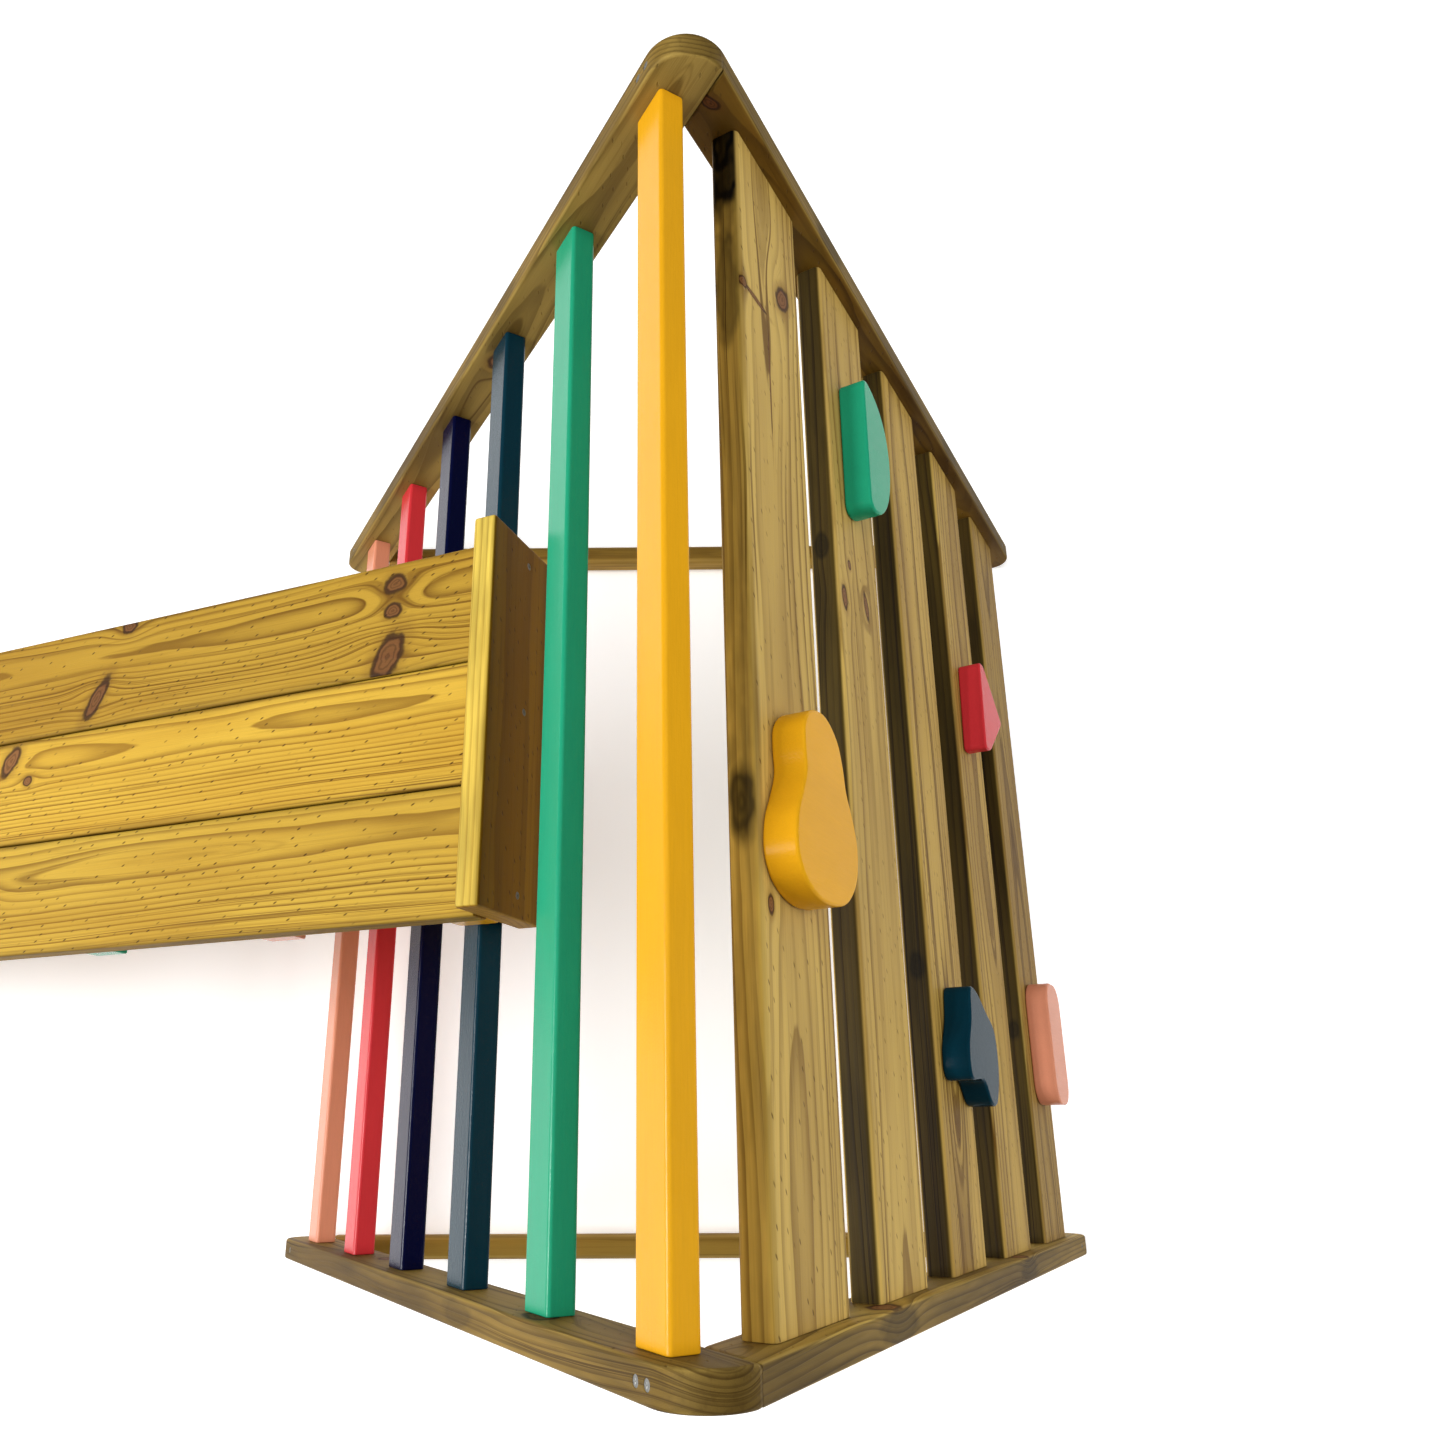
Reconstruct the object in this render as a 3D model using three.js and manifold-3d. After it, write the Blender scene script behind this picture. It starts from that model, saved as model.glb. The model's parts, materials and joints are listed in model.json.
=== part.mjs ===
// A-frame climbing triangle for outdoors: a ladder slope, a climbing-wall slope and a hook-on plank ramp.
// Millimetres, +Z up. The ridge runs along Y, and the ladder and the ramp go down towards -X.
// The origin is on the ground, under the middle of the whole object.
import * as THREE from 'three';
import { mergeVertices } from 'three/addons/utils/BufferGeometryUtils.js';
import Module from 'manifold-3d';

const wasm = await Module();
wasm.setup();

// Driving dimensions
const GAP = 0.3; // clearance between pieces that touch
const DEPTH = 1200; // outer width of the frame, along the ridge
const SLOPE = Math.PI / 3; // both slopes stand at 60 degrees
const TIMBER = 28; // thickness of every board and rung but the slats
const LEG = { length: 1230, width: 65, apexRadius: 45, footRadius: 30, footFlat: 3.2, chamfer: 3 };
const RUNG = { first: 82.5, pitch: 202.5, width: 50, round: 5 };
const SLAT = { thickness: 31, round: 6 };
// Upper and lower edge of each slat, down the slope from the ridge
const SLATS = [[139, 288], [361.5, 498.5], [584.5, 718.5], [804.5, 938.5], [1024.5, 1158.5]];
const RAIL = { width: 34, height: 45, round: 10, clearance: 2 }; // foot rail of each A-frame
const PLANK = { length: 1907, width: 144, round: 4, seam: 1.5, nearEdge: 389 };
const HOOK = { length: 444, width: 134, below: 39, nearEdge: 390.5, face: -26.4, round: 4 };
const BATTEN = { width: 50, round: 5, first: 254, pitch: 273, inset: 2 };
const RAMP_ANGLE = THREE.MathUtils.degToRad(21.5);
const HOLD = { thickness: 32, bevel: 3 };
const SCREW = { head: 4.5, cone: 3.2, shank: 2.2, point: 4, sides: 8, sink: 0.5 };

// Derived dimensions
const SIN = Math.sin(SLOPE);
const COS = Math.cos(SLOPE);
const INNER = DEPTH - 2 * TIMBER; // clear distance between the two A-frames
const MID = LEG.width / 2; // rungs and slats sit in the middle of the leg's width
const SET_IN = MID - TIMBER / 2;
const RIDGE = (LEG.length - LEG.footRadius) * SIN + (LEG.width - LEG.footRadius) * COS
  + LEG.footRadius - LEG.footFlat; // height of the point where the legs' outer edges would meet
const PLANK_UNDERSIDE = TIMBER + 2 * GAP; // over the corner of the rung that carries the ramp
const PLANK_START = HOOK.face + GAP;

// Colours and materials
const PAINT = {
  yellow: 0xf2b32e, green: 0x2fa57a, teal: 0x123f4c, navy: 0x0a1440, coral: 0xd0434a, peach: 0xeba184,
};
const RUNG_COLOURS = ['yellow', 'green', 'teal', 'navy', 'coral', 'peach'];
const BATTEN_COLOURS = ['yellow', 'peach', 'green', 'coral', 'teal', 'navy', 'yellow'];
const paint = (name) => new THREE.MeshStandardMaterial({ color: PAINT[name], roughness: 0.35 });
const framePine = () => new THREE.MeshStandardMaterial({ color: 0xa88a49, roughness: 0.6 });
const rampPine = () => new THREE.MeshStandardMaterial({ color: 0xd6ac4e, roughness: 0.6 });
const zinc = () => new THREE.MeshStandardMaterial({ color: 0xb9bcc0, roughness: 0.35, metalness: 0.9 });

// Groups: the two slopes and the ramp, each with x down the slope and y across
const part = new THREE.Group();
const ladder = new THREE.Group(); // z into the frame
ladder.position.z = RIDGE;
ladder.rotation.y = Math.PI - SLOPE;
ladder.updateMatrix();
const wall = new THREE.Group(); // z out of the frame
wall.position.z = RIDGE;
wall.rotation.y = SLOPE;
wall.updateMatrix();
const ramp = new THREE.Group(); // z under the ramp, origin at the corner of the third rung
ramp.position.set(RUNG.first + 2 * RUNG.pitch, 0, SET_IN).applyMatrix4(ladder.matrix);
ramp.rotation.y = Math.PI - RAMP_ANGLE;
ramp.updateMatrix();
part.add(ladder, wall, ramp);

const wallFoot = (LEG.length - LEG.footRadius) * COS + LEG.footRadius * (1 - SIN);
const rampTip = new THREE.Vector3(PLANK_START + PLANK.length, 0, -PLANK_UNDERSIDE - TIMBER)
  .applyMatrix4(ramp.matrix).x;
part.position.set(-(wallFoot + rampTip) / 2, -DEPTH / 2, 0);

// Booleans
function solidOf(geometry) {
  const bare = geometry.clone();
  bare.deleteAttribute('normal');
  bare.deleteAttribute('uv');
  const merged = mergeVertices(bare, 1e-3);
  return new wasm.Manifold(new wasm.Mesh({
    numProp: 3,
    vertProperties: merged.attributes.position.array,
    triVerts: new Uint32Array(merged.index.array),
  }));
}

function cut(geometry, tools) {
  if (tools.length === 0) return geometry;
  let body = solidOf(geometry);
  for (const tool of tools) body = body.subtract(solidOf(tool));
  const mesh = body.getMesh();
  const result = new THREE.BufferGeometry();
  result.setAttribute('position', new THREE.BufferAttribute(mesh.vertProperties, 3));
  result.setIndex(new THREE.BufferAttribute(mesh.triVerts, 1));
  result.computeVertexNormals();
  return result;
}

// Adds a named piece to a group, cut by tools that are given in the part's axes.
function addPiece(group, name, geometry, material, tools = []) {
  const toLocal = group.matrix.clone().invert();
  const local = tools.map((tool) => tool.clone().applyMatrix4(toLocal));
  const mesh = new THREE.Mesh(cut(geometry, local), material);
  mesh.name = name;
  group.add(mesh);
}

// Screws: a countersunk head, a shank and a point, along +z from the face of the head.
// The hole for one is the same shape with the gap all round, open above the head.
function screwShape(length, extra = 0) {
  const mouth = extra > 0 ? [[0, -2], [SCREW.head + extra, -2]] : [[0, 0]];
  const profile = [
    ...mouth,
    [SCREW.head + extra, 0],
    [SCREW.shank + extra, SCREW.cone + extra],
    [SCREW.shank + extra, length - SCREW.point + extra],
    [0, length + 2 * extra],
  ];
  const points = profile.map(([r, z]) => new THREE.Vector2(r, z));
  return new THREE.LatheGeometry(points, SCREW.sides).rotateX(Math.PI / 2);
}

function placeScrew(group, position, direction, length) {
  const turn = new THREE.Quaternion()
    .setFromUnitVectors(new THREE.Vector3(0, 0, 1), new THREE.Vector3(...direction));
  const place = new THREE.Matrix4()
    .compose(new THREE.Vector3(...position), turn, new THREE.Vector3(1, 1, 1))
    .premultiply(group.matrix);
  return {
    body: screwShape(length).applyMatrix4(place),
    hole: screwShape(length, GAP).applyMatrix4(place),
  };
}

const holes = (...sets) => sets.flat().map((screw) => screw.hole);

function addScrews(name, screws) {
  screws.forEach((screw, i) => addPiece(part, `${name}_${i + 1}`, screw.body, zinc()));
}

// Sections and bars
function roundedRectangle(width, height, radius) {
  const x = width / 2 - radius;
  const y = height / 2 - radius;
  const shape = new THREE.Shape();
  shape.absarc(x, y, radius, 0, Math.PI / 2);
  shape.absarc(-x, y, radius, Math.PI / 2, Math.PI);
  shape.absarc(-x, -y, radius, Math.PI, 1.5 * Math.PI);
  shape.absarc(x, -y, radius, 1.5 * Math.PI, 2 * Math.PI);
  return shape;
}

// A bar with rounded edges along y, from y = 0, with its section centred on the x and z axes.
function barAcross(width, thickness, round, length) {
  const section = roundedRectangle(width, thickness, round);
  return new THREE.ExtrudeGeometry(section, { depth: length, bevelEnabled: false, curveSegments: 2 })
    .rotateX(Math.PI / 2)
    .translate(0, length, 0);
}

// A bar with rounded edges along x, from x = 0, with its section centred on the y and z axes.
function barAlong(width, thickness, round, length) {
  return barAcross(width, thickness, round, length).rotateZ(-Math.PI / 2);
}

// Legs: outlines in x down the slope and y in from the outer edge, in the plane of the A-frame
const JOINT_X = LEG.width / Math.tan(SLOPE); // where the wall leg's outer corner meets the ladder leg
const JOINT_R = LEG.width / SIN; // the same corner, measured down the wall leg

function traceFoot(shape) {
  const { length, width, footRadius, footFlat } = LEG;
  const innerTurn = Math.acos((footRadius - footFlat) / footRadius);
  const outerDrop = footRadius - footFlat + (width - 2 * footRadius) * COS;
  const outerTurn = Math.acos(Math.min(1, outerDrop / footRadius));
  const down = Math.PI / 2 - SLOPE; // direction of the ground's normal
  const x = length - footRadius;
  shape.absarc(x, width - footRadius, footRadius, Math.PI / 2, down + innerTurn, true);
  shape.absarc(x, footRadius, footRadius, down - outerTurn, -Math.PI / 2, true);
}

function ladderLegOutline() {
  const { width, apexRadius } = LEG;
  const centreX = apexRadius / Math.tan(SLOPE / 2);
  const end = Math.PI - Math.asin((width - apexRadius) / apexRadius);
  const shape = new THREE.Shape();
  shape.absarc(centreX, apexRadius, apexRadius, 1.5 * Math.PI, end, true);
  traceFoot(shape);
  return shape;
}

function wallLegOutline() {
  const { width } = LEG;
  const clearance = GAP / SIN;
  const shape = new THREE.Shape();
  shape.moveTo(JOINT_R + clearance, 0);
  shape.lineTo(JOINT_R + clearance + JOINT_X, width);
  traceFoot(shape);
  return shape;
}

// Extrudes a leg's outline to the timber's thickness; side is 1 with z into the frame, -1 with z out.
function legGeometry(outline, side) {
  const points = outline.getPoints(5).map((p) => new THREE.Vector2(p.x, side * p.y));
  return new THREE.ExtrudeGeometry(new THREE.Shape(points), {
    depth: TIMBER - 2 * LEG.chamfer,
    bevelThickness: LEG.chamfer,
    bevelSize: LEG.chamfer,
    bevelOffset: -LEG.chamfer,
    bevelSegments: 1,
  }).rotateX(Math.PI / 2).translate(0, TIMBER - LEG.chamfer, 0);
}

// Foot rails: horizontal, between the legs of one A-frame, with ends cut to the legs' slope
function railGeometry() {
  const section = roundedRectangle(RAIL.width, RAIL.height, RAIL.round);
  const geometry = new THREE.ExtrudeGeometry(section, { depth: 1, bevelEnabled: false, curveSegments: 3 });
  const position = geometry.attributes.position;
  const centreZ = RAIL.clearance + RAIL.height / 2;
  for (let i = 0; i < position.count; i += 1) {
    const z = centreZ + position.getY(i);
    const downLeg = (RIDGE - z - LEG.width * COS) / SIN;
    const half = downLeg * COS - LEG.width * SIN - GAP / SIN;
    const end = position.getZ(i) > 0.5 ? half : -half;
    position.setXYZ(i, end, position.getX(i), z);
  }
  geometry.computeVertexNormals();
  return geometry;
}

// Outlines of the climbing holds, in x down the wall and y across, about the hold's own centre
function smoothOutline(points) {
  const curve = new THREE.CatmullRomCurve3(points.map(([x, y]) => new THREE.Vector3(x, y, 0)), true);
  const around = curve.getPoints(3 * points.length).slice(0, -1);
  return new THREE.Shape(around.map((p) => new THREE.Vector2(p.x, p.y)));
}

const peanutOutline = () => smoothOutline([
  [0, -84], [38, -76], [64, -52], [71, -20], [62, 8], [50, 30], [45, 52], [34, 76], [8, 92],
  [-22, 89], [-42, 72], [-45, 50], [-44, 28], [-54, 6], [-67, -18], [-70, -46], [-58, -68], [-32, -81],
]);

const cloudOutline = () => smoothOutline([
  [-35, 64], [-8, 62], [26, 42], [58, 20], [63, -24], [44, -64],
  [18, -66], [-10, -41], [-56, -40], [-62, -8], [-44, 28],
]);

function leafOutline() {
  const shape = new THREE.Shape();
  shape.moveTo(-41, -73);
  shape.quadraticCurveTo(-41, -90, -25, -88);
  shape.bezierCurveTo(10, -84, 40, -45, 41, 10);
  shape.bezierCurveTo(41, 60, 10, 82, -22, 87);
  shape.quadraticCurveTo(-38, 90, -38, 74);
  return shape;
}

function kiteOutline() {
  const corners = [[-58, -69], [-30, -66], [56, 2], [-26, 68], [-48, 67]];
  const round = 9;
  const shape = new THREE.Shape();
  corners.forEach(([x, y], i) => {
    const corner = new THREE.Vector2(x, y);
    const before = new THREE.Vector2(...corners[(i + 4) % 5]).sub(corner).setLength(round).add(corner);
    const after = new THREE.Vector2(...corners[(i + 1) % 5]).sub(corner).setLength(round).add(corner);
    if (i === 0) shape.moveTo(before.x, before.y);
    else shape.lineTo(before.x, before.y);
    shape.quadraticCurveTo(corner.x, corner.y, after.x, after.y);
  });
  return shape;
}

const HOLDS = [ // one on each slat, from the top; x is down the wall, y across
  { colour: 'yellow', x: 213, y: 443, outline: peanutOutline() },
  { colour: 'green', x: 439, y: 938, outline: leafOutline() },
  { colour: 'teal', x: 665, y: 271, outline: cloudOutline() },
  { colour: 'coral', x: 889, y: 759, outline: kiteOutline() },
  { colour: 'peach', x: 1095, y: 301, outline: roundedRectangle(86, 176, 32) },
];

function holdGeometry(outline) {
  const { thickness, bevel } = HOLD;
  const points = outline.getPoints(6);
  const apart = points.filter((p, i) => p.distanceTo(points.at(i - 1)) > 0.5);
  return new THREE.ExtrudeGeometry(new THREE.Shape(apart), {
    depth: thickness - 2 * bevel,
    bevelThickness: bevel,
    bevelSize: bevel,
    bevelOffset: -bevel,
    bevelSegments: 2,
  });
}

// Screws of the frame
const rungCentre = (i) => RUNG.first + i * RUNG.pitch + RUNG.width / 2;
const NEAR = { y: SCREW.sink, inward: [0, 1, 0], mid: TIMBER / 2 };
const FAR = { y: DEPTH - SCREW.sink, inward: [0, -1, 0], mid: DEPTH - TIMBER / 2 };

const rungScrews = (end) => [0, 1, 2, 3, 4, 5].map(
  (i) => placeScrew(ladder, [rungCentre(i), end.y, MID], end.inward, 65),
);
const apexScrews = (end) => [80, 96].map(
  (x) => placeScrew(ladder, [x, end.mid, SCREW.sink], [0, 0, 1], 100),
);
const RAIL_SCREW_X = 1175;
const ladderRailScrew = (end) => placeScrew(ladder, [RAIL_SCREW_X, end.mid, SCREW.sink], [0, 0, 1], 105);
const wallRailScrew = (end) => placeScrew(wall, [RAIL_SCREW_X, end.mid, -SCREW.sink], [0, 0, -1], 105);

// The two A-frames, with the rungs' screws through their outer faces
for (const [side, end, start] of [['near', NEAR, 0], ['far', FAR, DEPTH - TIMBER]]) {
  const rungSet = rungScrews(end);
  const apexSet = apexScrews(end);
  const railSet = [ladderRailScrew(end), wallRailScrew(end)];
  addPiece(ladder, `ladder_leg_${side}`, legGeometry(ladderLegOutline(), 1).translate(0, start, 0),
    framePine(), holes(rungSet, apexSet, railSet[0]));
  addPiece(wall, `wall_leg_${side}`, legGeometry(wallLegOutline(), -1).translate(0, start, 0),
    framePine(), holes(apexSet, railSet[1]));
  addPiece(part, `stretcher_${side}`, railGeometry().translate(0, end.mid, 0), framePine(), holes(railSet));
  addScrews(`rung_screw_${side}`, rungSet);
  addScrews(`apex_screw_${side}`, apexSet);
  addScrews(`stretcher_screw_${side}`, railSet);
}

// Rungs of the ladder
RUNG_COLOURS.forEach((colour, i) => {
  const bar = barAcross(RUNG.width, TIMBER, RUNG.round, INNER - 2 * GAP);
  bar.translate(rungCentre(i), TIMBER + GAP, MID);
  addPiece(ladder, `rung_${colour}`, bar, paint(colour), holes([rungScrews(NEAR)[i], rungScrews(FAR)[i]]));
});

// Slats and holds of the climbing wall
HOLDS.forEach(({ colour, x, y, outline }, i) => {
  const [top, bottom] = SLATS[i];
  const board = barAcross(bottom - top, SLAT.thickness, SLAT.round, INNER - 2 * GAP);
  board.translate((top + bottom) / 2, TIMBER + GAP, -SET_IN - SLAT.thickness / 2);
  addPiece(wall, `wall_slat_${i + 1}`, board, framePine());
  const hold = holdGeometry(outline).translate(x, y, -SET_IN + GAP + HOLD.bevel);
  addPiece(wall, `hold_${colour}`, hold, paint(colour));
});

// The ramp: battens under three planks, and an end board that hooks behind the third rung
const rampWidth = 3 * PLANK.width + 2 * PLANK.seam;
const plankY = (i) => PLANK.nearEdge + i * (PLANK.width + PLANK.seam) + PLANK.width / 2;
const battenX = (i) => (i === 0 ? PLANK_START + BATTEN.width / 2 : BATTEN.first + (i - 1) * BATTEN.pitch);
const hookScrews = [416, 625, 808].map(
  (y) => placeScrew(ramp, [HOOK.face - TIMBER + SCREW.sink, y, -PLANK_UNDERSIDE / 2], [1, 0, 0], 62),
);
const ground = new THREE.BoxGeometry(2000, 2 * DEPTH, 400).translate(rampTip, DEPTH / 2, -200);

[0, 1, 2].forEach((k) => {
  const plank = barAlong(PLANK.width, TIMBER, PLANK.round, PLANK.length);
  plank.translate(PLANK_START, plankY(k), -PLANK_UNDERSIDE - TIMBER / 2);
  addPiece(ramp, `ramp_plank_${k + 1}`, plank, rampPine(), [ground]);
});

BATTEN_COLOURS.forEach((colour, i) => {
  const batten = barAcross(BATTEN.width, TIMBER, BATTEN.round, rampWidth - 2 * BATTEN.inset);
  batten.translate(battenX(i), PLANK.nearEdge + BATTEN.inset, -GAP - TIMBER / 2);
  addPiece(ramp, `ramp_batten_${i + 1}`, batten, paint(colour), i === 0 ? holes(hookScrews) : []);
});

const hookBoard = barAcross(TIMBER, HOOK.width, HOOK.round, HOOK.length);
hookBoard.translate(HOOK.face - TIMBER / 2, HOOK.nearEdge, HOOK.below - HOOK.width / 2);
addPiece(ramp, 'ramp_hook_board', hookBoard, rampPine(), holes(hookScrews));
addScrews('hook_board_screw', hookScrews);

export default part;
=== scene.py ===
"""Looks of the climbing triangle: pressure-treated pine, painted rungs and holds, and zinc-plated screws."""
import json
import math
from functools import partial

import bmesh
import bpy
from mathutils import Matrix, Vector


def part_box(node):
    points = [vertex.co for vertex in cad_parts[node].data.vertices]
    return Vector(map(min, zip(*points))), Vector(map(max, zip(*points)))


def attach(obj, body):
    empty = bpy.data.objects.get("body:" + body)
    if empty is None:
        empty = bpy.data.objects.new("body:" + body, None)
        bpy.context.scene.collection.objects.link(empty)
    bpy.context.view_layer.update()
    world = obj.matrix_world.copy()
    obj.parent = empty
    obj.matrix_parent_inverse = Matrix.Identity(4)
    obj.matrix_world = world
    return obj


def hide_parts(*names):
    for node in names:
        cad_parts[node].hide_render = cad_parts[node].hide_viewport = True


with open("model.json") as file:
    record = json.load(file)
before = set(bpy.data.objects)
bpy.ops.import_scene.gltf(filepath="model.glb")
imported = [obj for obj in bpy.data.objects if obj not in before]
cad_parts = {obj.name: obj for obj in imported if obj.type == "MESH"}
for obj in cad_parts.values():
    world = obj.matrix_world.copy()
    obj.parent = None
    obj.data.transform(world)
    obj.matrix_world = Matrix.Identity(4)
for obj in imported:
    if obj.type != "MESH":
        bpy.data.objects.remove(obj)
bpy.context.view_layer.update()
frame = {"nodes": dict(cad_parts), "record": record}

# Axes of the pieces: along the grain, across it, and out of the face
SLOPE = math.radians(60)
RAMP_ANGLE = math.radians(21.5)
ALONG = Vector((0, 1, 0))
DOWN_LADDER = Vector((-math.cos(SLOPE), 0, -math.sin(SLOPE)))
DOWN_WALL = Vector((math.cos(SLOPE), 0, -math.sin(SLOPE)))
OUT_LADDER = Vector((-math.sin(SLOPE), 0, math.cos(SLOPE)))
OUT_WALL = Vector((math.sin(SLOPE), 0, math.cos(SLOPE)))
UP_RAMP = Vector((math.cos(RAMP_ANGLE), 0, math.sin(RAMP_ANGLE)))
OFF_RAMP = Vector((-math.sin(RAMP_ANGLE), 0, math.cos(RAMP_ANGLE)))

RUNG_AXES = (ALONG, DOWN_LADDER, OUT_LADDER)
SLAT_AXES = (ALONG, -DOWN_WALL, OUT_WALL)
HOLD_AXES = (DOWN_WALL, ALONG, OUT_WALL)
PLANK_AXES = (UP_RAMP, ALONG, OFF_RAMP)
BATTEN_AXES = (ALONG, -UP_RAMP, OFF_RAMP)
HOOK_AXES = (ALONG, OFF_RAMP, UP_RAMP)
RAIL_AXES = (Vector((1, 0, 0)), ALONG, Vector((0, 0, 1)))
LADDER_LEG_AXES = (DOWN_LADDER, -OUT_LADDER, -ALONG)
WALL_LEG_AXES = (DOWN_WALL, -OUT_WALL, ALONG)

SIDES = ("near", "far")
COLOURS = ("yellow", "green", "teal", "navy", "coral", "peach")
PAINT = {  # linear colour of each paint
    "yellow": (0.72, 0.35, 0.009),
    "green": (0.016, 0.33, 0.175),
    "teal": (0.0025, 0.028, 0.046),
    "navy": (0.0008, 0.0020, 0.026),
    "coral": (0.62, 0.034, 0.042),
    "peach": (0.72, 0.28, 0.165),
}


def oriented_box(node, axes):
    """Lowest and highest corner of a CAD node, measured along three axes."""
    points = [[axis.dot(v.co) for axis in axes] for v in frame["nodes"][node].data.vertices]
    low = Vector(map(min, zip(*points)))
    high = Vector(map(max, zip(*points)))
    return low, high


def place(axes, local):
    """The matrix that puts a piece's own origin at a point given along those axes."""
    turn = Matrix([list(axis) for axis in axes]).transposed()
    matrix = turn.to_4x4()
    matrix.translation = turn @ Vector(local)
    return matrix


# Meshes
def arc(x, y, radius, start, end, steps):
    angles = [math.radians(start + (end - start) * i / steps) for i in range(steps + 1)]
    return [(x + radius * math.cos(a), y + radius * math.sin(a)) for a in angles]


def rounded_rectangle(width, height, radius, steps=6):
    x, y = width / 2 - radius, height / 2 - radius
    return (arc(x, y, radius, 0, 90, steps) + arc(-x, y, radius, 90, 180, steps)
            + arc(-x, -y, radius, 180, 270, steps) + arc(x, -y, radius, 270, 360, steps))


def inset(outline, distance):
    """Moves each point of an anticlockwise outline inward, by the mitre of its two sides."""
    points = [Vector(p) for p in outline]
    moved = []
    for i, point in enumerate(points):
        before = (point - points[i - 1]).normalized()
        after = (points[(i + 1) % len(points)] - point).normalized()
        left = Vector((-before.y - after.y, before.x + after.x))
        moved.append(point + left * distance / (1 + before.dot(after)))
    return moved


def skin(mesh, loops):
    """Joins rings of vertices, lowest first, into one closed surface."""
    count = len(loops[0])
    for lower, upper in zip(loops, loops[1:]):
        for i in range(count):
            j = (i + 1) % count
            mesh.faces.new((lower[i], lower[j], upper[j], upper[i]))
    mesh.faces.new(list(reversed(loops[0])))
    mesh.faces.new(loops[-1])


def prism(outline, low, high, rim, axis, steps=4):
    """An outline drawn out from low to high along one axis, with the rims of both ends rounded."""
    rings = [(rim * (1 - math.sin(a)), rim * (1 - math.cos(a)))
             for a in (math.pi / 2 * i / steps for i in range(steps + 1))]
    levels = [(d, low + c) for d, c in rings] + [(d, high - c) for d, c in reversed(rings)]
    mesh = bmesh.new()
    loops = []
    for distance, level in levels:
        ring = inset(outline, distance)
        loops.append([mesh.verts.new((level, a, b) if axis == 0 else (a, b, level)) for a, b in ring])
    skin(mesh, loops)
    return mesh


def piece(name, mesh, matrix, material, body, nodes=()):
    """Makes a smooth-shaded piece that rides on a body and stands for CAD nodes."""
    data = bpy.data.meshes.new(name)
    bmesh.ops.recalc_face_normals(mesh, faces=mesh.faces)
    mesh.to_mesh(data)
    mesh.free()
    data.transform(matrix)
    data.shade_smooth()
    made = bpy.data.objects.new(name, data)
    bpy.context.scene.collection.objects.link(made)
    data.materials.append(material)
    normals = made.modifiers.new("normals", "WEIGHTED_NORMAL")
    normals.weight = 100
    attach(made, body)
    if nodes:
        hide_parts(*nodes)
    return made


# Shader nodes
class Shader:
    """A material's node tree, built with short calls whose values are numbers, tuples or sockets.
    Positions and normals are along the axes of the piece that the matrix places."""

    def __init__(self, name, matrix=Matrix.Identity(4)):
        self.material = bpy.data.materials.new(name)
        self.material.use_nodes = True
        self.tree = self.material.node_tree
        self.surface = self.tree.nodes["Principled BSDF"]
        coordinates = self.tree.nodes.new("ShaderNodeTexCoord")
        from_origin = self.vector("SUBTRACT", coordinates.outputs["Object"], matrix.translation)
        axes = [matrix.col[i].to_3d() for i in range(3)]
        self.position = self.join(*(self.vector("DOT_PRODUCT", from_origin, axis) for axis in axes))
        self.normal = [self.vector("DOT_PRODUCT", coordinates.outputs["Normal"], axis) for axis in axes]

    def set(self, socket, value):
        if isinstance(value, bpy.types.NodeSocket):
            self.tree.links.new(value, socket)
        else:
            socket.default_value = value

    def node(self, kind, values, **settings):
        made = self.tree.nodes.new("ShaderNode" + kind)
        for key, value in settings.items():
            setattr(made, key, value)
        for key, value in values.items():
            self.set(made.inputs[key], value)
        return made

    def math(self, operation, *values, clamp=False):
        return self.node("Math", dict(enumerate(values)), operation=operation, use_clamp=clamp).outputs[0]

    def vector(self, operation, *values):
        made = self.node("VectorMath", dict(enumerate(values)), operation=operation)
        return made.outputs["Value" if operation in ("LENGTH", "DOT_PRODUCT") else "Vector"]

    def split(self, vector):
        return self.node("SeparateXYZ", {0: vector}).outputs

    def join(self, x, y, z):
        return self.node("CombineXYZ", {0: x, 1: y, 2: z}).outputs[0]

    def noise(self, vector, stretch, detail=2.0, rough=0.5, offset=(0, 0, 0), out=0):
        where = self.vector("MULTIPLY_ADD", vector, stretch, offset)
        return self.node("TexNoise", {"Vector": where, "Scale": 1.0, "Detail": detail,
                                      "Roughness": rough}).outputs[out]

    def between(self, value, low, high, start=0.0, end=1.0):
        return self.node("MapRange", {0: value, 1: low, 2: high, 3: start, 4: end},
                         interpolation_type="SMOOTHSTEP").outputs[0]

    def mix(self, factor, first, second, blend="MIX"):
        made = self.node("Mix", {0: factor, 6: first, 7: second}, data_type="RGBA", blend_type=blend)
        return made.outputs[2]

    def finish(self, colour, roughness, height, depth, **uniform):
        bump = self.node("Bump", {"Height": height, "Strength": 1.0, "Distance": depth})
        self.set(self.surface.inputs["Base Color"], colour)
        self.set(self.surface.inputs["Roughness"], roughness)
        self.set(self.surface.inputs["Normal"], bump.outputs[0])
        for key, value in uniform.items():
            self.surface.inputs[key].default_value = value
        return self.material


def rgb(r, g, b):
    """Linear colour from the eight-bit numbers of a colour chart."""
    return tuple(((c / 255 + 0.055) / 1.055) ** 2.4 if c > 10 else c / 3294.6 for c in (r, g, b)) + (1,)


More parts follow.
